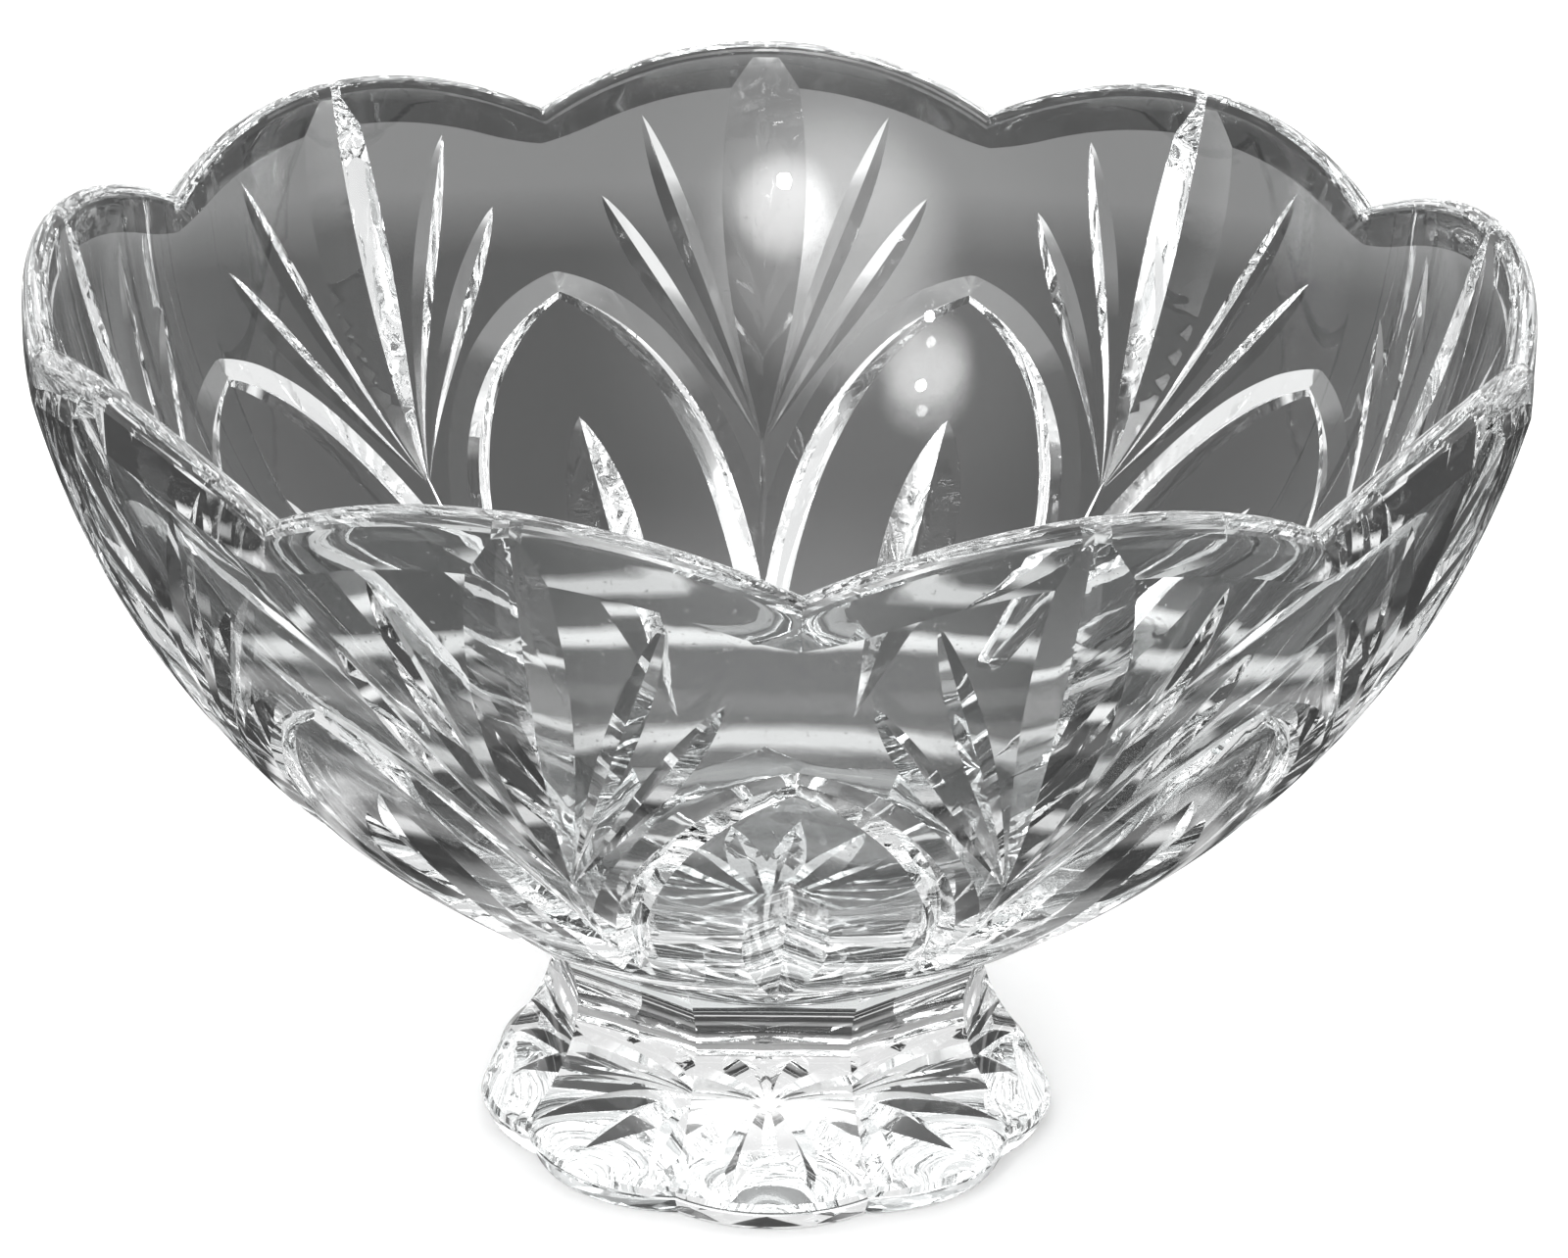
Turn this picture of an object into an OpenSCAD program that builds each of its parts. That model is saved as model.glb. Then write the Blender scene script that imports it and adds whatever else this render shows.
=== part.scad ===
// Footed punch bowl in cut glass: a round bowl with a scalloped rim, on a panelled foot.
// Origin at the centre of the base, +Z up, a rim notch towards -Y. Millimetres.

/* [Bowl] */
// Diameter across the rim, at the lobe tops
rim_d = 304; // [280:1:330]
// Height of the lobe tops above the table
bowl_height = 185.6; // [176:0.2:196]
// Number of rim lobes, which is also the number of foot panels
lobe_count = 9; // [8:1:10]
// How far each rim notch drops below the lobe tops
notch_drop = 12.6; // [6:0.2:16]
// Thickness of the wall at the rim
rim_wall = 7; // [5:0.5:9]
// Thickness of the glass under the bowl's floor
floor_wall = 10; // [8:0.5:14]

/* [Rim bevel] */
// Height of the bevelled band round the outside of the rim
bevel_h = 11; // [4:0.5:12]
// How far the bevel leans in at the very edge
bevel_depth = 2.4; // [1:0.2:3]

/* [Foot] */
// Diameter of the foot across the tops of its base lobes
base_d = 121; // [112:1:128]
// Height of the straight band at the bottom of the foot
band_h = 4.6; // [3:0.2:7]
// Diameter across the corners at the narrowest part of the foot
waist_d = 90.6; // [84:0.2:92]
// Height of the narrowest part above the table
waist_z = 33; // [31:0.5:35]

/* [Underside] */
// Number of V grooves that cross under the foot, each making two rays of the star
groove_count = 9; // [5:1:9]
// Depth of each groove
groove_depth = 2; // [1:0.2:3]

/* [Joint] */
// Thickness of the clear bonding layer between bowl and foot
bond_t = 0.2; // [0.1:0.05:0.4]

/* [Hidden] */
$fn = 96;
eps = 0.02;

lobe_angle = 360 / lobe_count;
rim_r = rim_d / 2;
curve_steps = 14;
lobe_steps = 8;

// Outside of the bowl: flat seat disc, then one smooth curve up to the rim.
seat_r = 40;
seat_z = 40.8;
outer_curve = [
    [seat_r, seat_z],
    [0.681 * rim_r, 0.404 * bowl_height],
    [0.935 * rim_r, 0.631 * bowl_height],
    [rim_r, bowl_height]
];

// Inside of the bowl: the same kind of curve, one wall thickness in.
floor_r = 26;
inner_r = rim_r - rim_wall;
inner_curve = [
    [floor_r, seat_z + floor_wall],
    [0.665 * inner_r, seat_z + floor_wall + 0.12 * bowl_height],
    [0.945 * inner_r, 0.680 * bowl_height],
    [inner_r, bowl_height]
];

// Each lobe top is an arc of this radius, about an axis that runs out from the centre line.
lobe_chord = rim_r * sin(lobe_angle / 2);
lobe_r = (pow(lobe_chord, 2) + pow(notch_drop, 2)) / (2 * notch_drop);
lobe_axis_z = bowl_height - lobe_r;
margin = 6;
cutter_floor_z = bowl_height - notch_drop - bevel_h - margin;
cutter_top_z = bowl_height + margin;

// Foot: one panel under each rim notch. Its radii are to the panels' flat middles.
base_r = base_d / 2;
first_panel_angle = 90 + lobe_angle / 2;
corner_to_flat = cos(lobe_angle / 2);
waist_r = waist_d / 2 * corner_to_flat;
panel_foot_r = 0.93 * base_r;
flare_power = 1.8;
neck_rise = 0.025;
envelope_top = seat_z + 15;
foot_steps = 9;
neck_steps = 4;

// Base outline: each lobe is an arc whose centre lies part way out to its panel.
base_lobe_offset = 0.476 * base_r;
base_lobe_r = base_r - base_lobe_offset;

// Star under the foot: the grooves stop short of the flat ring that the bowl stands on.
star_r = 0.74 * base_r;

// Point at t (0 to 1) along the smooth curve set by four control points.
function curve_point(c, t) =
    pow(1 - t, 3) * c[0] + 3 * pow(1 - t, 2) * t * c[1] + 3 * (1 - t) * t * t * c[2] + pow(t, 3) * c[3];

function curve(c, steps) = [for (i = [0:steps]) curve_point(c, i / steps)];

// Radius of the foot's panels at height z: a concave flare below the waist, a slight spread above.
function panel_r(z) =
    z < waist_z
    ? waist_r + (panel_foot_r - waist_r) * pow((waist_z - z) / (waist_z - band_h), flare_power)
    : waist_r + neck_rise * pow(z - waist_z, 2);

// One copy of the children for each lobe, the first facing +Y.
module per_lobe() {
    for (k = [0:lobe_count - 1]) rotate([0, 0, 90 + k * lobe_angle]) children();
}

// A wedge of one lobe's width that points along +X, at the rim's height.
module lobe_wedge() {
    reach = 1.2 * rim_r;
    half = lobe_angle / 2 + eps;
    translate([0, 0, cutter_floor_z])
        linear_extrude(cutter_top_z - cutter_floor_z)
            polygon([
                [reach / 3, -reach / 3 * tan(half)],
                [reach, -reach * tan(half)],
                [reach, reach * tan(half)],
                [reach / 3, reach / 3 * tan(half)]
            ]);
}

// All that lies above one lobe's arc when it is lowered by drop.
module above_lobe(drop) {
    difference() {
        lobe_wedge();
        translate([0, 0, lobe_axis_z])
            rotate([0, 90, 0]) cylinder(r = lobe_r - drop, h = 2 * rim_r);
    }
}

// A ring outside the bevel's cone, which leans in towards the rim.
module bevel_ring() {
    low_r = 0.99 * rim_r;
    rotate_extrude()
        polygon([
            [low_r, cutter_floor_z],
            [rim_r + margin, cutter_floor_z],
            [rim_r + margin, cutter_top_z],
            [rim_r - bevel_depth, cutter_top_z]
        ]);
}

module bowl_outside() {
    rotate_extrude()
        polygon(concat([[0, seat_z]], curve(outer_curve, curve_steps), [[0, bowl_height]]));
}

module bowl_hollow() {
    rotate_extrude()
        polygon(concat(
            [[0, seat_z + floor_wall]],
            curve(inner_curve, curve_steps),
            [[inner_r, cutter_top_z], [0, cutter_top_z]]
        ));
}

module bowl() {
    color([0.80, 0.84, 0.85, 0.5])
        difference() {
            bowl_outside();
            bowl_hollow();
            per_lobe() above_lobe(0);
            per_lobe() intersection() {
                above_lobe(bevel_h);
                bevel_ring();
            }
        }
}

// A slab that is unbounded on one side, and ends in one foot panel on the other.
module panel_slab() {
    back = -2 * base_r;
    front = base_r + margin;
    flare_h = waist_z - band_h;
    neck_h = envelope_top - waist_z;
    flare = [for (i = [0:foot_steps]) let(z = band_h + flare_h * i / foot_steps) [panel_r(z), z]];
    neck = [for (i = [1:neck_steps]) let(z = waist_z + neck_h * i / neck_steps) [panel_r(z), z]];
    rotate([0, 0, first_panel_angle])
        rotate([90, 0, 0])
            linear_extrude(-2 * back, center = true)
                polygon(concat(
                    [[back, 0], [front, 0], [front, band_h]],
                    flare, neck,
                    [[back, envelope_top]]
                ));
}

// Radius of the base outline, at angle a from the middle of one of its lobes.
function base_outline_r(a) =
    base_lobe_offset * cos(a) + sqrt(pow(base_lobe_r, 2) - pow(base_lobe_offset * sin(a), 2));

module base_outline() {
    linear_extrude(envelope_top)
        polygon([
            for (k = [0:lobe_count - 1], i = [0:lobe_steps - 1])
                let(a = (i / lobe_steps - 0.5) * lobe_angle)
                let(turn = first_panel_angle + k * lobe_angle + a)
                base_outline_r(a) * [cos(turn), sin(turn)]
        ]);
}

// The foot's full height, running up into the bowl.
module foot_envelope() {
    intersection() {
        base_outline();
        intersection_for (k = [0:lobe_count - 1]) rotate([0, 0, k * lobe_angle]) panel_slab();
    }
}

// V grooves that cross at the centre of the underside.
module star_grooves() {
    side = groove_depth * sqrt(2);
    for (k = [0:groove_count - 1])
        rotate([0, 0, (k + 0.5) * 180 / groove_count])
            rotate([45, 0, 0]) cube([2 * star_r, side, side], center = true);
}

module pedestal_foot() {
    color([0.90, 0.93, 0.94, 0.5])
        difference() {
            foot_envelope();
            translate([0, 0, -bond_t]) bowl_outside();
            star_grooves();
        }
}

module bond_layer() {
    color([0.95, 0.97, 0.97, 0.4])
        difference() {
            intersection() {
                foot_envelope();
                translate([0, 0, -bond_t]) bowl_outside();
            }
            bowl_outside();
        }
}

bowl();
bond_layer();
pedestal_foot();
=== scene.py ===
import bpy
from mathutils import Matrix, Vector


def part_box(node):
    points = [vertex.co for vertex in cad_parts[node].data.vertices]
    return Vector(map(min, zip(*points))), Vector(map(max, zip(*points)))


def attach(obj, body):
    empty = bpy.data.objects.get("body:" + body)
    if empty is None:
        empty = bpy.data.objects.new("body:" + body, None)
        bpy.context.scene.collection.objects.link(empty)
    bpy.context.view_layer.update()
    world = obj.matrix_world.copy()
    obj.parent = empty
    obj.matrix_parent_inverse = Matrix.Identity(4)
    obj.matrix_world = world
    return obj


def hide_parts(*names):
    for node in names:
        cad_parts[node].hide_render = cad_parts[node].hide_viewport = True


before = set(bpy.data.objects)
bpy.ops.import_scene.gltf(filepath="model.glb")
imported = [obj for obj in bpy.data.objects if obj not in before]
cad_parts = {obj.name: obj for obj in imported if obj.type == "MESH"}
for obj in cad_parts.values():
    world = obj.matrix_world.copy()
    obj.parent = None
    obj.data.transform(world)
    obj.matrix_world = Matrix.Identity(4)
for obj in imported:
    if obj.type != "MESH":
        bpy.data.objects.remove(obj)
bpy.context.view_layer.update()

import copy
import math

import bmesh
import bpy
import numpy as np
from mathutils import Matrix, Vector
from mathutils.geometry import delaunay_2d_cdt

# Shapes are worked out in millimetres and radians, in the CAD frame, and built in metres.
MM = 0.001

# The object repeats once for each lobe. Each repeat is one half sector and its mirror image.
LOBES = 9
SECTOR = 2 * math.pi / LOBES
HALF = SECTOR / 2

# ---------------------------------------------------------------- sizes

# Bowl
SEAT_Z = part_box("bowl")[0].z / MM
TOP_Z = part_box("bowl")[1].z / MM
RIM_R = 152.0
SEAT_R = 40.0
RIM_WALL = 7.0
FLOOR_WALL = 10.0
FLOOR_R = 26.0

# Rim: a scallop to each lobe, a bevelled band outside, and a full round over the top.
NOTCH_DROP = 12.6
BEVEL_H = 11.2
BEVEL_DEPTH = 2.4
BEVEL_ROUND_TURN = math.radians(5)
BEVEL_ROUND_LIFT = 2.2
OUTER_ROUND = 4.4
INNER_ROUND = 3.0
CROWN = 0.45
ROUNDNESS = 0.9

# Clear layer between bowl and foot, and how far its faces keep clear of both
BOND_T = 0.2
BOND_GAP = 0.02

# Foot
BASE_R = 59.9
BASE_UNDERCUT = 1.7
BASE_EDGE = 0.8
WAIST_Z = 33.0
WAIST_R = 45.3 * math.cos(HALF)
PANEL_FOOT_R = 0.93 * BASE_R
BAND_H = 4.6
FLARE_POWER = 1.8
NECK_RISE = 0.025
LOBE_OFFSET = 0.476 * BASE_R
LOBE_SWELL_POWER = 6
FLARE_START = BAND_H + 0.35

# Side of the base band, from the underside's edge up: (inset from the lobed outline, height)
BAND_PROFILE = [(BASE_UNDERCUT + 0.2, 0.2), (BASE_UNDERCUT - 0.2, 0.8), (0.0, 4.0), (0.1, 4.4), (0.4, BAND_H)]

# Star under the foot: where its rays start and end, and the half width and slope of their facets.
STAR_START = 3
STAR_END = 46
STAR_HALF_WIDTH = 4.4
STAR_SLOPE = 0.8

# Mesh spacing. The next three are shares of it: along a patch's outline, between the rows that fill
# the patch, and the room that is kept free round every groove line.
BOWL_SPACING = 2.2
FOOT_SPACING = 2.0
OUTLINE_SHARE = 0.7
ROW_SHARE = 0.87
CLEAR_SHARE = 0.55

# How near to a side of a patch a line, or a point, counts as on it, and when two points are one.
LINE_SNAP = 0.2
POINT_SNAP = 0.035
MERGE_REACH = 0.02
WELD_REACH = 0.0005

# Least depth that counts as a groove
GROOVE_START = 1e-4

# Rows of the plain surfaces. The seat's rows are shares of the way to its flat part, then radii.
RIM_SWING_STEP = 12
INSIDE_STEPS = 70
FOOT_SIDE_STEPS = 40
SEAT_SHARES = (0.75, 0.5, 0.25, 0.0)
SEAT_RINGS = (24.0, 10.0, 0.0)
SHARP_ANGLE = math.radians(7)

# Material slots on each glass piece
POLISHED, BONDED = 0, 1

GLASS_IOR = 1.54

# The painted table that the glass sees: a glow of painted light and shade, set by the distance, in metres,
# from a point that lies this far behind the foot's centre. It is dark near the bowl as painted shade. Painted
# rings of light, by the distance from that centre itself, lie on it.
TABLE_BACK = 0.04
TABLE_PAINTED_SHADE_AND_LIGHT = [(0.0, 0.05), (0.49, 0.055), (0.56, 0.23), (0.8, 0.23), (0.9, 0.4), (1.0, 0.95)]
TABLE_PAINTED_LIGHT_RINGS = [
    (0.051, 0.0), (0.057, 0.42), (0.072, 0.42), (0.09, 0.0),
    (0.119, 0.0), (0.125, 0.8), (0.133, 0.8), (0.139, 0.0),
    (0.198, 0.0), (0.204, 1.1), (0.212, 1.1), (0.219, 0.0),
]
FLOOR_SIZE = 8.0
FLOOR_DROP = 0.0003
WALLS = 0.88

# Soft glows on the walls: azimuth, elevation and spread in degrees, then brightness
GLOWS = [(255, 38, 48, 0.6), (260, 28, 25, 3.6), (268, 23, 10, 9.0), (235, 43, 9, 6.0), (90, 75, 45, 1.6)]

# Small round lamps: name, azimuth and elevation in degrees, distance and size in metres
LAMPS = [
    ("camera_lamp", 268, 23, 1.35, 0.06),
    ("left_lamp", 236, 40, 1.6, 0.05),
    ("high_left_lamp", 232, 50, 1.6, 0.05),
]
LAMP_AIM = Vector((0, 0, 0.1))
LAMP_BRIGHTNESS = 60

# Facets that mirror light inside the glass turn black with fewer bounces than these.
GLASS_BOUNCES = 48
GLOSSY_BOUNCES = 24


# ---------------------------------------------------------------- curves

def bezier(points, steps):
    """Points along the smooth curve that four control points set."""
    t = np.linspace(0, 1, steps + 1)[:, None]
    p = np.array(points, float)
    return (1 - t) ** 3 * p[0] + 3 * (1 - t) ** 2 * t * p[1] + 3 * (1 - t) * t * t * p[2] + t ** 3 * p[3]


class Profile:
    """A curve in the (radius, height) plane, looked up by the length along it from its start."""

    def __init__(self, points):
        self.r, self.z = np.array(points, float).T
        step = np.hypot(np.diff(self.r), np.diff(self.z))
        self.s = np.concatenate([[0], np.cumsum(step)])
        self.middle = (self.s[1:] + self.s[:-1]) / 2
        self.out_r = np.diff(self.z) / step
        self.out_z = -np.diff(self.r) / step

    def radius(self, s):
        return np.interp(s, self.s, self.r)

    def height(self, s):
        return np.interp(s, self.s, self.z)

    def outward(self, s):
        """The unit normal, as its radial and vertical parts."""
        r = np.interp(s, self.middle, self.out_r)
        z = np.interp(s, self.middle, self.out_z)
        size = np.hypot(r, z)
        return r / size, z / size

    def at_height(self, z):
        """The length along the curve at which it reaches a height."""
        return np.interp(z, self.z, self.s)

    def radius_at_height(self, z):
        return np.interp(z, self.z, self.r)


# Outside of the bowl, from the centre of its flat seat to the rim
outer_curve = bezier([
    (SEAT_R, SEAT_Z),
    (0.681 * RIM_R, 0.404 * TOP_Z),
    (0.935 * RIM_R, 0.631 * TOP_Z),
    (RIM_R, TOP_Z),
], 400)
seat = np.array([[0.0, SEAT_Z], [SEAT_R - 0.01, SEAT_Z]])
OUTSIDE = Profile(np.vstack([seat, outer_curve]))

# Inside of the bowl, from the edge of its flat floor to the rim
INNER_R = RIM_R - RIM_WALL
INSIDE = Profile(bezier([
    (FLOOR_R, SEAT_Z + FLOOR_WALL),
    (0.665 * INNER_R, SEAT_Z + FLOOR_WALL + 0.12 * TOP_Z),
    (0.945 * INNER_R, 0.680 * TOP_Z),
    (INNER_R, TOP_Z),
], 400))

# The scallop of each lobe is an arc of this radius.
LOBE_CHORD = RIM_R * math.sin(HALF)
LOBE_R = (LOBE_CHORD ** 2 + NOTCH_DROP ** 2) / (2 * NOTCH_DROP)


def rim_height(turn):
    """Height of the scalloped rim, at an angle from the middle of its lobe."""
    across = RIM_R * np.sin(turn)
    return TOP_Z - LOBE_R + np.sqrt(LOBE_R ** 2 - across ** 2)


def bevel_height(turn):
    """Height of the bevel's lower edge: the rim's own line, rounded off under the notches."""
    near = np.clip(1 - (HALF - turn) / BEVEL_ROUND_TURN, 0, None)
    return rim_height(turn) - BEVEL_H + BEVEL_ROUND_LIFT * near ** 2


# ---------------------------------------------------------------- wheel cuts

def leaf(widest, skew=1.0, belly=1.0):
    """Half width of a leaf-shaped cut, from its root (0) to its tip (1).

    More skew moves the widest place towards the tip. Less belly makes the leaf fuller."""
    return lambda u: widest * np.sin(math.pi * u ** skew).clip(0) ** belly


def band(start, widest, end, peak=0.35):
    """Half width of a long cut that is widest at one place and has blunt ends."""
    places = [0, peak / 2, peak, 0.8, 1]
    widths = [start, (start + widest) * 0.53, widest, widest, end]
    return lambda u: np.interp(u, places, widths)


class Cut:
    """A V groove: points (angle, length up the wall), its half width there, and its steepness.

    left is how wide the facet on the left of the path is, next to the one on the right. A
    narrower facet is as much steeper, so both meet in the same valley."""

    def __init__(self, path, width, steepness, surface, left=1.0):
        self.path = np.array(path, float)
        along = np.linspace(0, 1, len(path))
        self.width = width(along)
        self.steepness = np.interp(along, [0, 1], steepness)
        self.surface = surface
        self.left, self.right = left, 1.0

    def mirrored(self, about):
        """The same cut on the other side of the upright line at that angle."""
        twin = copy.copy(self)
        twin.left, twin.right = self.right, self.left
        twin.path = self.path * [-1, 1] + [2 * about, 0]
        return twin

    def depth(self, turn, s):
        """How deep the groove is below each point. It is negative outside the groove."""
        best = np.full(len(turn), -1e3)
        radius = self.surface(s)
        for i in range(len(self.path) - 1):
            a, b = self.path[i:i + 2]
            wa, wb = self.width[i:i + 2]
            px, py = (turn - a[0]) * radius, s - a[1]
            dx, dy = (b[0] - a[0]) * radius, b[1] - a[1]
            t = ((px * dx + py * dy) / (dx * dx + dy * dy)).clip(0, 1)
            apart = np.hypot(px - t * dx, py - t * dy)
            share = np.where(dx * py > dy * px, self.left, self.right)
            best = np.maximum(best, self.steepness[i] * (wa + t * (wb - wa) - apart / share))
        return best

    def lines(self):
        """The valley and the two edges, as chains of points (angle, length)."""
        scale = self.surface(self.path[:, 1])
        dx = np.gradient(self.path[:, 0]) * scale
        dy = np.gradient(self.path[:, 1])
        step = np.hypot(dx, dy)
        ahead = np.stack([dx, dy], 1) / step[:, None]
        aside = np.stack([-dy, dx], 1) / step[:, None]
        to_map = np.stack([1 / scale, np.ones_like(scale)], 1)
        chains = [self.path]
        widest_taper = 0.98
        for share, way in ((self.left, 1), (self.right, -1)):
            width = share * self.width
            spread = (np.gradient(width) / step).clip(-widest_taper, widest_taper)
            back = -(width * spread)[:, None] * ahead
            side = way * (width * np.sqrt(1 - spread ** 2))[:, None] * aside
            chains.append(self.path + (back + side) * to_map)
        blunt_start = self.width[0] > 1
        if blunt_start:
            swing = np.linspace(-0.5, 0.5, 13)[:, None] * math.pi
            cap = -np.cos(swing) * ahead[0] + np.sin(swing) * aside[0]
            chains.append(self.path[0] + self.width[0] * cap * to_map[0])
        return chains


def wall_path(points, steps):
    """A path on the bowl's wall, through (degrees from the lobe's middle, height) control points."""
    bent = bezier(points, steps)
    return np.stack([np.radians(bent[:, 0]), OUTSIDE.at_height(bent[:, 1])], 1)


def straight(start, end, bow=0.0):
    """Control points of a nearly straight path. bow moves its middle sideways, in degrees."""
    start, end = np.array(start, float), np.array(end, float)
    side = np.array([bow * 4 / 3, 0])
    return [start, start + (end - start) / 3 + side, start + (end - start) * 2 / 3 + side, end]


def bowl_cuts():
    """The cuts that touch the half sector from a lobe's middle (0) to its notch (HALF).

    All leaves fan out from one point. Heights are in millimetres, angles in degrees."""
    fan = 100.4
    notch = math.degrees(HALF)
    on_wall = OUTSIDE.radius
    vertex = OUTSIDE.at_height(fan)
    main_path = [(0, s) for s in np.linspace(vertex, vertex + 115, 41)]
    main_leaf = Cut(main_path, leaf(9.5, 1.05, 1.05), (0.38, 0.45), on_wall)
    upper_path = wall_path(straight((0, fan), (10.8, 168.6), 0.6), 36)
    upper_leaf = Cut(upper_path, leaf(3.0, 1.7, 0.75), (0.45, 0.52), on_wall)
    lower_path = wall_path(straight((0, fan), (14.8, 151.7), 0.8), 36)
    lower_leaf = Cut(lower_path, leaf(3.0, 1.7, 0.75), (0.45, 0.52), on_wall)
    stem = Cut(wall_path(straight((0, fan + 3), (0, 66)), 12), leaf(1.0, 1.0, 0.5), (0.55, 0.55), on_wall)
    arch_path = wall_path([(notch, 132.5), (notch - 7.2, 125.5), (notch - 15.3, 105.5), (0.7, 66.5)], 44)
    arch = Cut(arch_path, band(1.2, 3.5, 2.8, 0.6), (1.05, 1.05), on_wall)
    arch_slope = Cut(arch_path, band(4.6, 6.6, 3.2), (0.3, 0.3), on_wall, left=0.3)
    flame_path = wall_path(straight((notch, 52), (notch, 107.5)), 36)
    flame = Cut(flame_path, leaf(8.2, 1.27, 0.85), (0.54, 0.54), on_wall)
    cuts = [main_leaf, upper_leaf, lower_leaf, stem, arch, arch_slope, flame]
    twins = [upper_leaf.mirrored(0), lower_leaf.mirrored(0)]
    twins += [cut.mirrored(about) for cut in (arch, arch_slope) for about in (0, HALF)]
    return cuts + twins


# ---------------------------------------------------------------- cut surfaces as meshes

class Patch:
    """A half sector of a surface, triangulated so that every groove's lines are edges.

    The flat map is (angle x radius, length), which keeps sizes on the surface. ceiling gives the
    length at which the patch ends, and each field gives a depth at (angle, length)."""

    def __init__(self, radius, ceiling, cuts, extra_lines, extra_fields, step):
        self.radius = radius
        self.top_turns = np.linspace(0, HALF, 37)
        self.top = ceiling(self.top_turns)
        self.fields = [cut.depth for cut in cuts] + extra_fields
        groove_lines = [line for cut in cuts for line in cut.lines()]
        points, edges = [], []

        def chain(line, closed=False):
            first = len(points)
            points.extend(line)
            ids = list(range(first, len(points)))
            edges.extend(zip(ids[:-1], ids[1:]))
            if closed:
                edges.append((ids[-1], ids[0]))

        chain(self.flat(self.outline(OUTLINE_SHARE * step)), closed=True)
        for line in extra_lines + groove_lines:
            for part in self.inside_parts(line):
                chain(self.flat(self.snapped(part, LINE_SNAP)))
        guides = np.array(points)
        filling = self.filling(step)
        gap = np.array([np.min(np.hypot(*(guides - p).T)) for p in filling])
        points.extend(filling[gap > CLEAR_SHARE * step])
        verts, faces = self.triangulate(points, edges)
        crease_points, crease_edges = self.creases(verts, faces)
        first = len(points)
        points.extend(crease_points)
        edges.extend((a + first, b + first) for a, b in crease_edges)
        self.verts, self.faces = self.triangulate(points, edges)

    def outline(self, step):
        """Down one side of the patch, up the other, and back along its top."""
        def side(turn, top):
            return [(turn, s) for s in np.arange(step, top - step / 2, step)]
        down = side(0, self.top[0])[::-1]
        across = list(zip(self.top_turns[::-1], self.top[::-1]))
        return np.array([*down, (0, 0.0), *side(HALF, self.top[-1]), *across])

    def flat(self, line):
        line = np.asarray(line, float)
        return np.stack([line[:, 0] * self.radius(line[:, 1]), line[:, 1]], 1)

    def snapped(self, line, reach):
        """Points within reach of either side of the patch are put on that side."""
        turn, s = np.array(line, float).T
        near = reach / np.maximum(self.radius(s), 1e-6)
        turn = np.where(np.abs(turn) < near, 0, turn)
        turn = np.where(np.abs(turn - HALF) < near, HALF, turn)
        return np.stack([turn, s], 1)

    def curved(self, points):
        """From the flat map back to (angle, length)."""
        s = points[:, 1]
        turn = points[:, 0] / np.maximum(self.radius(s), 1e-6)
        return self.snapped(np.stack([turn, s], 1), POINT_SNAP).T

    def inside_parts(self, line):
        """The parts of a chain that lie in or just past the patch."""
        slack = 0.03
        near = (line[:, 0] > -slack) & (line[:, 0] < HALF + slack) & (line[:, 1] > 0)
        parts, run = [], []
        for point, keep in zip(line, near):
            if keep:
                run.append(point)
            elif len(run) > 1:
                parts.append(np.array(run))
                run = []
            else:
                run = []
        if len(run) > 1:
            parts.append(np.array(run))
        return parts

    def filling(self, step):
        """Evenly spread points, in rows that are shifted by half a step in turn."""
        points = []
        top = self.top.max()
        for row, s in enumerate(np.arange(step, top, step * ROW_SHARE)):
            width = self.radius(s) * HALF
            shift = (row % 2) * step / 2
            points.extend([x, s] for x in np.arange(step / 2 + shift, width - step / 3, step))
        return np.array(points)

    def triangulate(self, points, edges):
        """Triangles over the patch, without the thin ones that lie along its sides."""
        verts, _, faces, *_ = delaunay_2d_cdt([Vector(p) for p in points], edges, [], 0, MERGE_REACH)
        verts = np.array([v[:] for v in verts])
        faces = np.array([f for f in faces if len(f) == 3])
        centre = verts[faces].mean(1)
        keep = self.contains(centre[:, 0] / self.radius(centre[:, 1]), centre[:, 1])
        turn = self.curved(verts)[0][faces]
        flattened = (turn == 0).all(1) | (turn == HALF).all(1)
        faces = faces[keep & ~flattened]
        a, b, c = verts[faces].transpose(1, 0, 2)
        area = (b - a)[:, 0] * (c - a)[:, 1] - (b - a)[:, 1] * (c - a)[:, 0]
        faces[area < 0] = faces[area < 0][:, ::-1]
        used, faces = np.unique(faces, return_inverse=True)
        return verts[used], faces.reshape(-1, 3)

    def contains(self, turn, s):
        return (turn > 0) & (turn < HALF) & (s > 0) & (s < self.ceiling(turn))

    def ceiling(self, turn):
        return np.interp(turn, self.top_turns, self.top)

    def depths(self, points):
        """The depth of each groove (rows) at each point (columns)."""
        turn, s = self.curved(points)
        return np.array([f(turn, s) for f in self.fields])

    def creases(self, verts, faces):
        """Where one groove runs into another, found along the edges of a first triangulation."""
        depth = self.depths(verts)
        winner = np.where(depth.max(0) > GROOVE_START, depth.argmax(0), -1)
        found, points, links = {}, [], []
        for face in faces:
            ends = []
            for i, j in ((0, 1), (1, 2), (2, 0)):
                a, b = sorted((face[i], face[j]))
                wa, wb = winner[a], winner[b]
                if wa == wb or min(wa, wb) < 0:
                    continue
                if (a, b) not in found:
                    da, db = depth[wa, a] - depth[wb, a], depth[wb, b] - depth[wa, b]
                    if da + db < 1e-6:
                        continue
                    keep_off = 0.02
                    t = min(max(da / (da + db), keep_off), 1 - keep_off)
                    found[a, b] = len(points)
                    points.append(verts[a] + t * (verts[b] - verts[a]))
                ends.append(found[a, b])
            if len(ends) == 2:
                links.append(tuple(ends))
        return points, links

    def depth(self):
        """How far the surface is cut back at each vertex: the deepest groove wins."""
        return self.depths(self.verts).max(0).clip(0)

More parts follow.
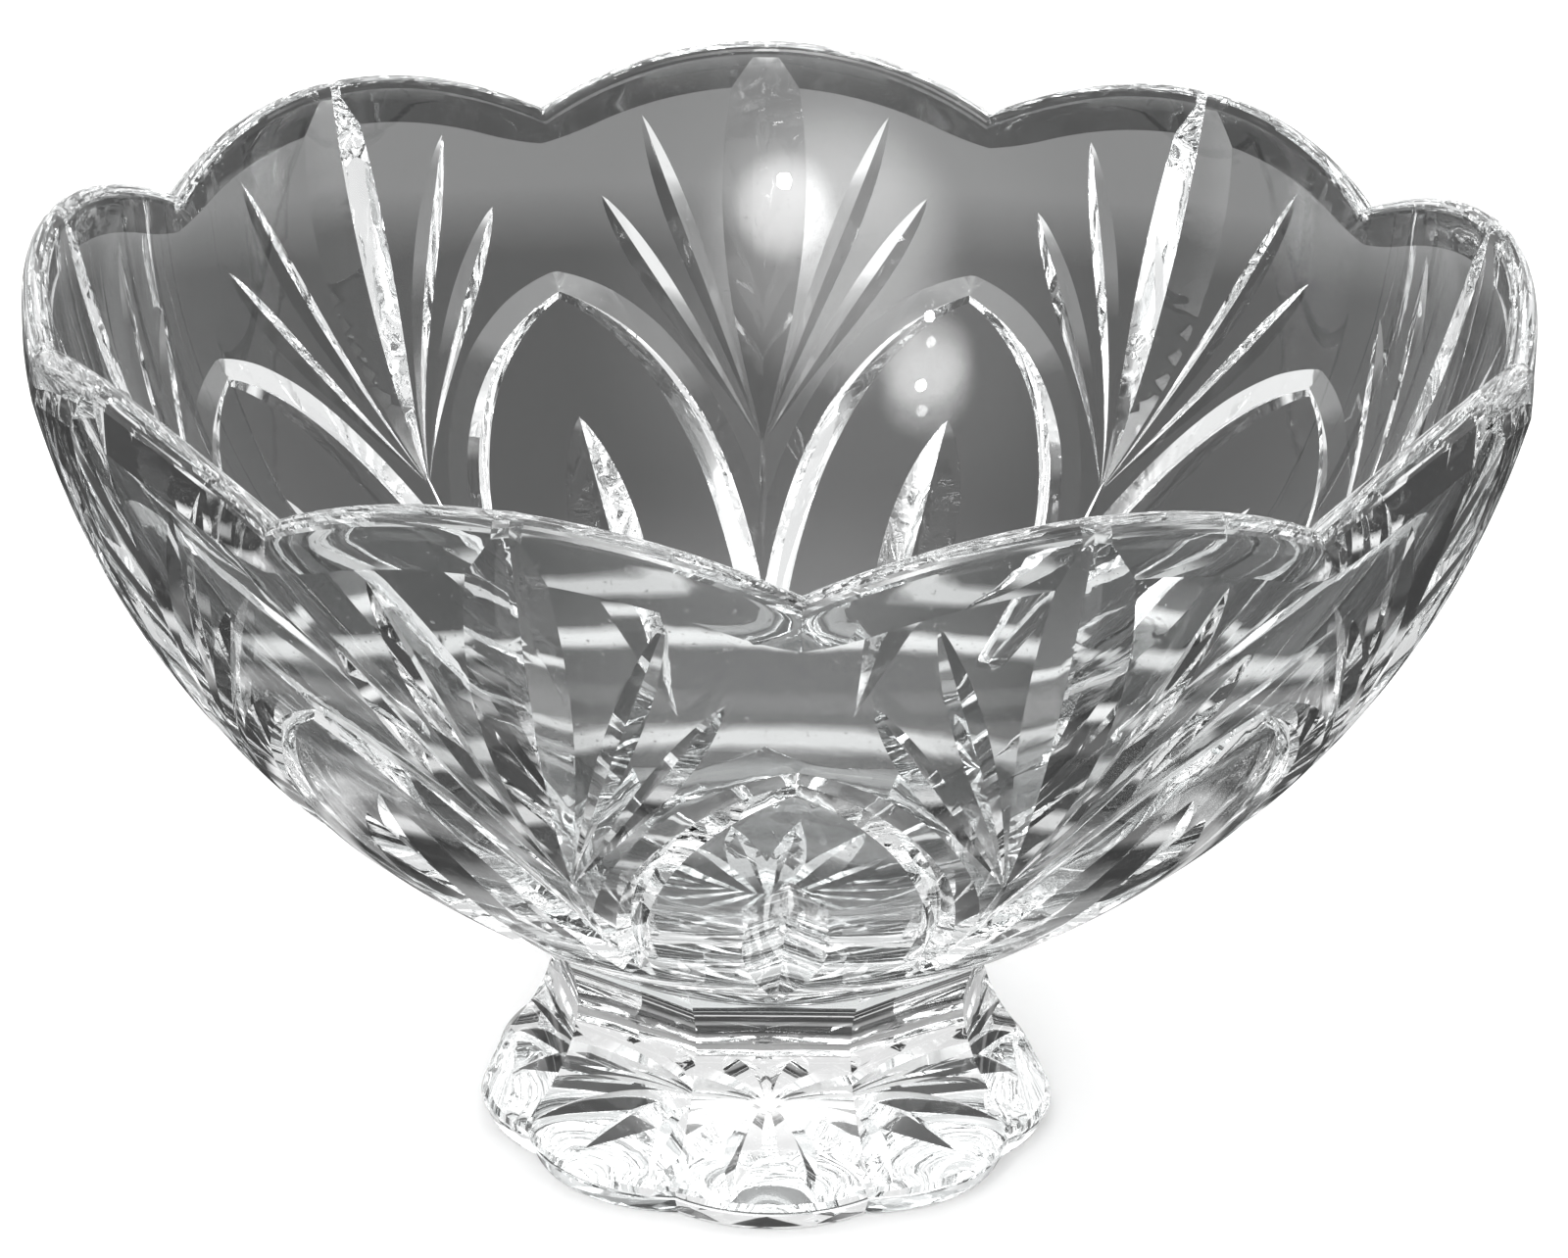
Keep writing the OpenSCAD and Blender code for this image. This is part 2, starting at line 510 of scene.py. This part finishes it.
    def top_row(self):
        """The vertices along the top, from the lobe's middle to its end."""
        turn, _ = self.curved(self.verts)
        edges = np.sort(np.vstack([self.faces[:, [0, 1]], self.faces[:, [1, 2]], self.faces[:, [2, 0]]]), 1)
        edges, uses = np.unique(edges, axis=0, return_counts=True)
        edges = edges[uses == 1]
        ends = turn[edges]
        along_side = (ends == 0).all(1) | (ends == HALF).all(1)
        high = (self.verts[edges][:, :, 1] > 0.5 * self.top.min()).all(1)
        row = np.unique(edges[high & ~along_side])
        return row[np.argsort(turn[row])]


# ---------------------------------------------------------------- mesh assembly

def weld(mesh):
    """Join the copies where they meet. Faces that shrink to nothing at the axis go."""
    work = bmesh.new()
    work.from_mesh(mesh)
    bmesh.ops.remove_doubles(work, verts=work.verts, dist=WELD_REACH * MM)
    work.to_mesh(mesh)
    work.free()


class Shell:
    """Collects the vertices and faces of half a sector, then repeats and welds them."""

    def __init__(self):
        self.verts, self.faces, self.slots = [], [], []

    def add(self, turn, r, z):
        """New vertices, by angle from the middle line, radius and height. Returns their numbers."""
        first = len(self.verts)
        self.verts.extend(zip(turn, r, z))
        return np.arange(first, len(self.verts))

    def face(self, ids, slot=POLISHED):
        ids = [int(i) for i in ids]
        self.faces.append(ids)
        self.slots.append(slot)

    def strip(self, low, high, slot=POLISHED):
        """Quads between two rows of vertices that run the same way. high lies up or outwards."""
        for a, b, c, d in zip(low[:-1], low[1:], high[1:], high[:-1]):
            self.face((a, b, c, d), slot)

    def skin(self, rows, slot=POLISHED):
        """Quads between each row and the next one."""
        for low, high in zip(rows[:-1], rows[1:]):
            self.strip(low, high, slot)

    def build(self, name, materials, first_angle):
        """The welded piece. Slot by slot, its faces take the materials."""
        turn, r, z = np.array(self.verts, float).T
        size = len(turn)
        verts, faces, slots = [], [], []
        for k in range(LOBES):
            for side in (1, -1):
                angle = first_angle + k * SECTOR + side * turn
                offset = len(verts) * size
                verts.append(np.stack([r * np.cos(angle), r * np.sin(angle), z], 1) * MM)
                for ids, slot in zip(self.faces, self.slots):
                    ids = [i + offset for i in ids]
                    faces.append(ids if side > 0 else ids[::-1])
                    slots.append(slot)
        mesh = bpy.data.meshes.new(name)
        mesh.from_pydata(np.vstack(verts).tolist(), [], faces)
        mesh.polygons.foreach_set("material_index", slots)
        for material in materials:
            mesh.materials.append(material)
        weld(mesh)
        mesh.shade_smooth()
        mesh.set_sharp_from_angle(angle=SHARP_ANGLE)
        piece = bpy.data.objects.new(name, mesh)
        bpy.context.scene.collection.objects.link(piece)
        return piece


# ---------------------------------------------------------------- where bowl and foot meet

def foot_panel_r(z):
    """Radius to the flat middle of a foot panel."""
    below = np.clip((WAIST_Z - z) / (WAIST_Z - BAND_H), 0, 1)
    above = np.clip(z - WAIST_Z, 0, None)
    return WAIST_R + (PANEL_FOOT_R - WAIST_R) * below ** FLARE_POWER + NECK_RISE * above ** 2


def joint_height(turn, drop=0.0):
    """Height at which a foot panel meets the bowl's outside, at an angle from the panel's middle."""
    low, high = np.full_like(turn, SEAT_Z - drop), np.full_like(turn, SEAT_Z + 12)
    for _ in range(40):
        middle = (low + high) / 2
        outside = foot_panel_r(middle) / np.cos(turn) > OUTSIDE.radius_at_height(middle + drop)
        low, high = np.where(outside, middle, low), np.where(outside, high, middle)
    return (low + high) / 2


def seat_rows(shell, columns, start, drop, shares):
    """Rows along the bowl's outside, lowered by drop, from a length up its wall in to the centre."""
    rows = []
    for share in shares:
        s = SEAT_R + (start - SEAT_R) * share
        rows.append(shell.add(columns, OUTSIDE.radius(s), OUTSIDE.height(s) - drop))
    for r in SEAT_RINGS:
        rows.append(shell.add(columns, np.full(len(columns), r), np.full(len(columns), SEAT_Z - drop)))
    return rows


# ---------------------------------------------------------------- bowl

def make_bowl(materials):
    """The bowl, with its cuts and bevel outside and a plain inside."""
    turns = np.linspace(0, HALF, 30)
    seat_edge = np.stack([turns, np.full(len(turns), SEAT_R)], 1)
    joint_z = joint_height(HALF - turns)
    joint = np.stack([turns, OUTSIDE.at_height(joint_z)], 1)
    bevel = np.stack([turns, OUTSIDE.at_height(bevel_height(turns))], 1)

    def bevel_depth(turn, s):
        low = OUTSIDE.at_height(bevel_height(turn))
        high = OUTSIDE.at_height(rim_height(turn))
        return BEVEL_DEPTH * (s - low) / (high - low)

    def ceiling(turn):
        return OUTSIDE.at_height(rim_height(turn) - OUTER_ROUND)

    lines = [seat_edge, joint, bevel]
    patch = Patch(OUTSIDE.radius, ceiling, bowl_cuts(), lines, [bevel_depth], BOWL_SPACING)
    turn, s = patch.curved(patch.verts)
    depth = patch.depth()
    out_r, out_z = OUTSIDE.outward(s)
    shell = Shell()
    outer = shell.add(turn, OUTSIDE.radius(s) - out_r * depth, OUTSIDE.height(s) - out_z * depth)
    middle = patch.verts[patch.faces].mean(1)
    mid_turn, mid_s = patch.curved(middle)
    bonded = mid_s < np.interp(mid_turn, joint[:, 0], joint[:, 1])
    for face, inside in zip(patch.faces, bonded):
        shell.face(outer[face], BONDED if inside else POLISHED)

    # Rim: a full round over the top, from the outside to the inside.
    row = patch.top_row()
    top = outer[row]
    top_turn = turn[row]
    top_r, top_z = np.array([shell.verts[i][1:] for i in top]).T
    crest = rim_height(top_turn)
    start = INSIDE.at_height(crest - INNER_ROUND)
    inner_r = INSIDE.radius(start)
    crown_r = inner_r + (top_r - inner_r) * CROWN
    rows = [top]
    for swing in np.radians(np.arange(RIM_SWING_STEP, 181, RIM_SWING_STEP)):
        side_r = top_r if swing < math.pi / 2 else inner_r
        side_drop = crest - top_z if swing < math.pi / 2 else INNER_ROUND
        side_share = abs(math.cos(swing)) ** ROUNDNESS
        lift_share = abs(math.sin(swing)) ** ROUNDNESS
        rows.append(shell.add(
            top_turn, crown_r + (side_r - crown_r) * side_share, crest - side_drop * (1 - lift_share)
        ))

    # Down the inside, and across the floor to its centre.
    for i in range(1, INSIDE_STEPS + 1):
        length = start * (1 - i / INSIDE_STEPS)
        rows.append(shell.add(top_turn, INSIDE.radius(length), INSIDE.height(length)))
    for fraction in (0.6, 0.3, 0.0):
        floor_r = np.full(len(top), FLOOR_R * fraction)
        rows.append(shell.add(top_turn, floor_r, np.full(len(top), INSIDE.z[0])))
    shell.skin(rows)
    return shell.build("cut_bowl", materials, math.pi / 2)


# ---------------------------------------------------------------- foot

def base_outline_r(turn):
    """Radius of the lobed base outline, at an angle from the middle of a lobe."""
    lobe_r = BASE_R - LOBE_OFFSET
    return LOBE_OFFSET * np.cos(turn) + np.sqrt(lobe_r ** 2 - (LOBE_OFFSET * np.sin(turn)) ** 2)


def foot_side_r(z, turn):
    """The foot's side: flat panels above, which swell into the base's lobes at the bottom."""
    swell = np.clip((WAIST_Z - z) / (WAIST_Z - BAND_H), 0, 1) ** LOBE_SWELL_POWER
    flat = foot_panel_r(z) / np.cos(turn)
    return (1 - swell) * flat + swell * base_outline_r(turn)


def star_rays():
    """The star's cuts that touch one half sector: a ray in its middle, and the twins beside it."""
    path = [(HALF / 2, s) for s in np.linspace(STAR_START, STAR_END, 30)]
    ray = Cut(path, leaf(STAR_HALF_WIDTH, 0.85, 0.9), (STAR_SLOPE, STAR_SLOPE), lambda s: s)
    return [ray, ray.mirrored(0), ray.mirrored(HALF)]


def make_foot(materials):
    """The foot, from the star under it up to the dished seat on top."""
    shell = Shell()

    def ceiling(turn):
        return base_outline_r(turn) - BASE_UNDERCUT - BASE_EDGE

    patch = Patch(lambda s: s, ceiling, star_rays(), [], [], FOOT_SPACING)
    turn, s = patch.curved(patch.verts)
    under = shell.add(turn, s, patch.depth())
    for face in patch.faces:
        shell.face(under[face])

    # Side, from the underside's edge up to the joint.
    row = patch.top_row()
    edge = under[row]
    columns = turn[row]
    radius = base_outline_r(columns)
    rows = [edge]
    for inset, z in BAND_PROFILE:
        rows.append(shell.add(columns, radius - inset, np.full(len(columns), z)))
    top = joint_height(columns, BOND_T)
    for i in range(1, FOOT_SIDE_STEPS + 1):
        z = FLARE_START + (top - FLARE_START) * i / FOOT_SIDE_STEPS
        rows.append(shell.add(columns, foot_side_r(z, columns), z))
    shell.skin(rows)

    # Dished seat for the bowl.
    start = OUTSIDE.at_height(top + BOND_T)
    dish = seat_rows(shell, columns, start, BOND_T, SEAT_SHARES)
    shell.skin([rows[-1], *dish], BONDED)
    return shell.build("panelled_foot", materials, math.pi / 2 + HALF)


def make_bond(materials):
    """The clear layer between the bowl and the foot. A hair's breadth keeps it clear of both."""
    shell = Shell()
    columns = np.linspace(0, HALF, 19)
    top = joint_height(columns)
    start = OUTSIDE.at_height(top)
    upper = seat_rows(shell, columns, start, BOND_GAP, (1.0, *SEAT_SHARES))
    lower = seat_rows(shell, columns, start, BOND_T - BOND_GAP, (1.0, *SEAT_SHARES))
    shell.strip(lower[0], upper[0])
    shell.skin(upper, BONDED)
    for outer, inner in zip(lower[:-1], lower[1:]):
        shell.strip(inner, outer, BONDED)
    return shell.build("clear_bond_layer", materials, math.pi / 2 + HALF)


# ---------------------------------------------------------------- materials

def new_material(name):
    """A material with its nodes, links and main shader."""
    material = bpy.data.materials.new(name)
    material.use_nodes = True
    nodes = material.node_tree.nodes
    return material, nodes, material.node_tree.links, nodes["Principled BSDF"]


def crystal(name, light, dark):
    """Polished cut crystal: slight change of tone, faint waves, and fine specks and wear."""
    material, nodes, links, shader = new_material(name)
    place = nodes.new("ShaderNodeTexCoord")

    cloud = nodes.new("ShaderNodeTexNoise")
    cloud.inputs["Scale"].default_value = 14
    cloud.inputs["Detail"].default_value = 3
    tone = nodes.new("ShaderNodeMix")
    tone.data_type = "RGBA"
    tone.inputs["A"].default_value = (*dark, 1)
    tone.inputs["B"].default_value = (*light, 1)

    speck = nodes.new("ShaderNodeTexNoise")
    speck.inputs["Scale"].default_value = 900
    speck.inputs["Detail"].default_value = 2
    worn = nodes.new("ShaderNodeMapRange")
    worn.inputs["From Min"].default_value = 0.66
    worn.inputs["From Max"].default_value = 0.74
    worn.inputs["To Min"].default_value = 0.0
    worn.inputs["To Max"].default_value = 0.18

    wave = nodes.new("ShaderNodeTexNoise")
    wave.inputs["Scale"].default_value = 55
    wave.inputs["Detail"].default_value = 1
    bump = nodes.new("ShaderNodeBump")
    bump.inputs["Strength"].default_value = 0.06
    bump.inputs["Distance"].default_value = 0.0004

    for texture in (cloud, speck, wave):
        links.new(place.outputs["Object"], texture.inputs["Vector"])
    links.new(cloud.outputs["Fac"], tone.inputs["Factor"])
    links.new(tone.outputs["Result"], shader.inputs["Base Color"])
    links.new(speck.outputs["Fac"], worn.inputs["Value"])
    links.new(worn.outputs["Result"], shader.inputs["Roughness"])
    links.new(wave.outputs["Fac"], bump.inputs["Height"])
    links.new(bump.outputs["Normal"], shader.inputs["Normal"])
    shader.inputs["Transmission Weight"].default_value = 1
    shader.inputs["IOR"].default_value = GLASS_IOR
    return material


def bonded_face(name):
    """A glass face in full contact with the next piece: light passes it without bending."""
    material, nodes, links, shader = new_material(name)
    place = nodes.new("ShaderNodeTexCoord")
    cloud = nodes.new("ShaderNodeTexNoise")
    cloud.inputs["Scale"].default_value = 60
    tone = nodes.new("ShaderNodeMix")
    tone.data_type = "RGBA"
    tone.inputs["A"].default_value = (0.97, 0.98, 0.98, 1)
    tone.inputs["B"].default_value = (1, 1, 1, 1)
    links.new(place.outputs["Object"], cloud.inputs["Vector"])
    links.new(cloud.outputs["Fac"], tone.inputs["Factor"])
    links.new(tone.outputs["Result"], shader.inputs["Base Color"])
    shader.inputs["Transmission Weight"].default_value = 1
    shader.inputs["Roughness"].default_value = 0
    shader.inputs["IOR"].default_value = 1.0
    return material


# ---------------------------------------------------------------- build the object

bowl_glass = crystal("bowl_crystal", (0.93, 0.94, 0.94), (0.86, 0.87, 0.87))
foot_glass = crystal("foot_crystal", (0.98, 0.98, 0.98), (0.94, 0.95, 0.95))
resin = crystal("bond_resin", (0.97, 0.97, 0.97), (0.93, 0.93, 0.93))
contact = bonded_face("bonded_face")

bowl = make_bowl([bowl_glass, contact])
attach(bowl, "root")
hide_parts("bowl")

foot = make_foot([foot_glass, contact])
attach(foot, "root")
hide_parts("pedestal_foot")

bond = make_bond([resin, contact])
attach(bond, "root")
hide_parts("bond_layer")


# ---------------------------------------------------------------- camera, floor, light

def add_camera():
    """A long lens that looks down into the bowl, slightly from the left and slightly rolled."""
    elevation, azimuth, roll = math.radians(22.83), math.radians(-1.89), math.radians(1.20)
    distance = 1.1014
    target = Vector((0.0018, 0.0, 0.1061))
    back = Vector((
        math.sin(azimuth) * math.cos(elevation),
        -math.cos(azimuth) * math.cos(elevation),
        math.sin(elevation),
    ))
    right = Vector((0, 0, 1)).cross(back).normalized()
    up = back.cross(right)
    turned_right = right * math.cos(roll) + up * math.sin(roll)
    turned_up = up * math.cos(roll) - right * math.sin(roll)
    data = bpy.data.cameras.new("camera")
    data.sensor_width = 36
    data.lens = 124.88
    camera = bpy.data.objects.new("camera", data)
    camera.matrix_world = Matrix((turned_right, turned_up, back)).transposed().to_4x4()
    camera.location = target + back * distance
    bpy.context.scene.collection.objects.link(camera)
    bpy.context.scene.camera = camera


def ramp(nodes, stops):
    """A grey ramp, from (position, grey) stops in rising order."""
    node = nodes.new("ShaderNodeValToRGB")
    elements = node.color_ramp.elements
    while len(elements) < len(stops):
        elements.new(0.5)
    for element, (position, grey) in zip(elements, stops, strict=True):
        element.position = position
        element.color = (grey, grey, grey, 1)
    return node


def distance_from(nodes, links, back):
    """Distance on the floor from a point that lies this far behind the object's centre."""
    place = nodes.new("ShaderNodeTexCoord")
    shift = nodes.new("ShaderNodeMapping")
    shift.inputs["Location"].default_value = (0, -back, 0)
    away = nodes.new("ShaderNodeVectorMath")
    away.operation = "LENGTH"
    links.new(place.outputs["Object"], shift.inputs["Vector"])
    links.new(shift.outputs["Vector"], away.inputs[0])
    return away.outputs["Value"]


def floor_material():
    """Pale to the eye. The glass sees a painted table instead: a glow that is dark near the bowl as painted
    shade, grey farther off, with bright painted rings of light round the foot.
    """
    material, nodes, links, shader = new_material("pale_floor_with_painted_light")
    shader.inputs["Base Color"].default_value = (0.93, 0.93, 0.93, 1)
    shader.inputs["Roughness"].default_value = 0.8
    # Painted shade and light for the glass: this ramp makes the glow dark near the bowl, grey farther off and
    # bright far away.
    tone = ramp(nodes, TABLE_PAINTED_SHADE_AND_LIGHT)
    # Painted rings of light round the foot.
    painted_ring_light = ramp(nodes, TABLE_PAINTED_LIGHT_RINGS)
    brighter = nodes.new("ShaderNodeMath")
    brighter.operation = "MAXIMUM"
    # The floor glows for every ray but the camera's, though it is no lamp: painted light and shade on the
    # table.
    painted_table_glow = nodes.new("ShaderNodeEmission")
    path = nodes.new("ShaderNodeLightPath")
    mix = nodes.new("ShaderNodeMixShader")
    links.new(distance_from(nodes, links, TABLE_BACK), tone.inputs["Fac"])
    links.new(distance_from(nodes, links, 0), painted_ring_light.inputs["Fac"])
    links.new(tone.outputs["Color"], brighter.inputs[0])
    links.new(painted_ring_light.outputs["Color"], brighter.inputs[1])
    links.new(brighter.outputs[0], painted_table_glow.inputs["Strength"])
    links.new(path.outputs["Is Camera Ray"], mix.inputs["Fac"])
    links.new(painted_table_glow.outputs["Emission"], mix.inputs[1])
    links.new(shader.outputs["BSDF"], mix.inputs[2])
    links.new(mix.outputs["Shader"], nodes["Material Output"].inputs["Surface"])
    return material


def add_floor():
    """A plain square, just under the object's base."""
    corners = [(-1, -1), (1, -1), (1, 1), (-1, 1)]
    mesh = bpy.data.meshes.new("floor")
    mesh.from_pydata([(x * FLOOR_SIZE, y * FLOOR_SIZE, -FLOOR_DROP) for x, y in corners], [], [(0, 1, 2, 3)])
    mesh.materials.append(floor_material())
    floor = bpy.data.objects.new("floor", mesh)
    bpy.context.scene.collection.objects.link(floor)


def toward(azimuth, elevation):
    """The unit vector that points that way, from angles in degrees."""
    azimuth, elevation = math.radians(azimuth), math.radians(elevation)
    return Vector((
        math.cos(azimuth) * math.cos(elevation),
        math.sin(azimuth) * math.cos(elevation),
        math.sin(elevation),
    ))


def add_lamp(name, azimuth, elevation, distance, size):
    """A round lamp aimed at the bowl. Its power makes its face as bright as every other lamp's."""
    data = bpy.data.lights.new(name, "AREA")
    data.shape = "DISK"
    data.size = size
    face = math.pi * size * size / 4
    data.energy = LAMP_BRIGHTNESS * math.pi * face
    direction = toward(azimuth, elevation)
    light = bpy.data.objects.new(name, data)
    light.location = direction * distance + LAMP_AIM
    light.rotation_euler = direction.to_track_quat("Z", "Y").to_euler()
    bpy.context.scene.collection.objects.link(light)


def add_world():
    """White walls with soft glows, mostly behind the camera."""
    world = bpy.data.worlds.new("studio")
    world.use_nodes = True
    nodes, links = world.node_tree.nodes, world.node_tree.links
    background = nodes["Background"]
    background.inputs["Color"].default_value = (1, 1, 1, 1)
    place = nodes.new("ShaderNodeTexCoord")
    total = None
    for azimuth, elevation, spread, brightness in GLOWS:
        facing = nodes.new("ShaderNodeVectorMath")
        facing.operation = "DOT_PRODUCT"
        facing.inputs[1].default_value = toward(azimuth, elevation)
        glow = nodes.new("ShaderNodeMapRange")
        glow.interpolation_type = "SMOOTHERSTEP"
        glow.inputs["From Min"].default_value = math.cos(math.radians(spread))
        glow.inputs["To Max"].default_value = brightness
        links.new(place.outputs["Generated"], facing.inputs[0])
        links.new(facing.outputs["Value"], glow.inputs["Value"])
        add = nodes.new("ShaderNodeMath")
        if total is None:
            add.inputs[0].default_value = WALLS
        else:
            links.new(total, add.inputs[0])
        links.new(glow.outputs["Result"], add.inputs[1])
        total = add.outputs[0]
    links.new(total, background.inputs["Strength"])
    bpy.context.scene.world = world


add_camera()
add_floor()
for lamp in LAMPS:
    add_lamp(*lamp)
add_world()
bpy.context.scene.view_settings.view_transform = "Standard"
bpy.context.scene.cycles.max_bounces = GLASS_BOUNCES
bpy.context.scene.cycles.transmission_bounces = GLASS_BOUNCES
bpy.context.scene.cycles.glossy_bounces = GLOSSY_BOUNCES
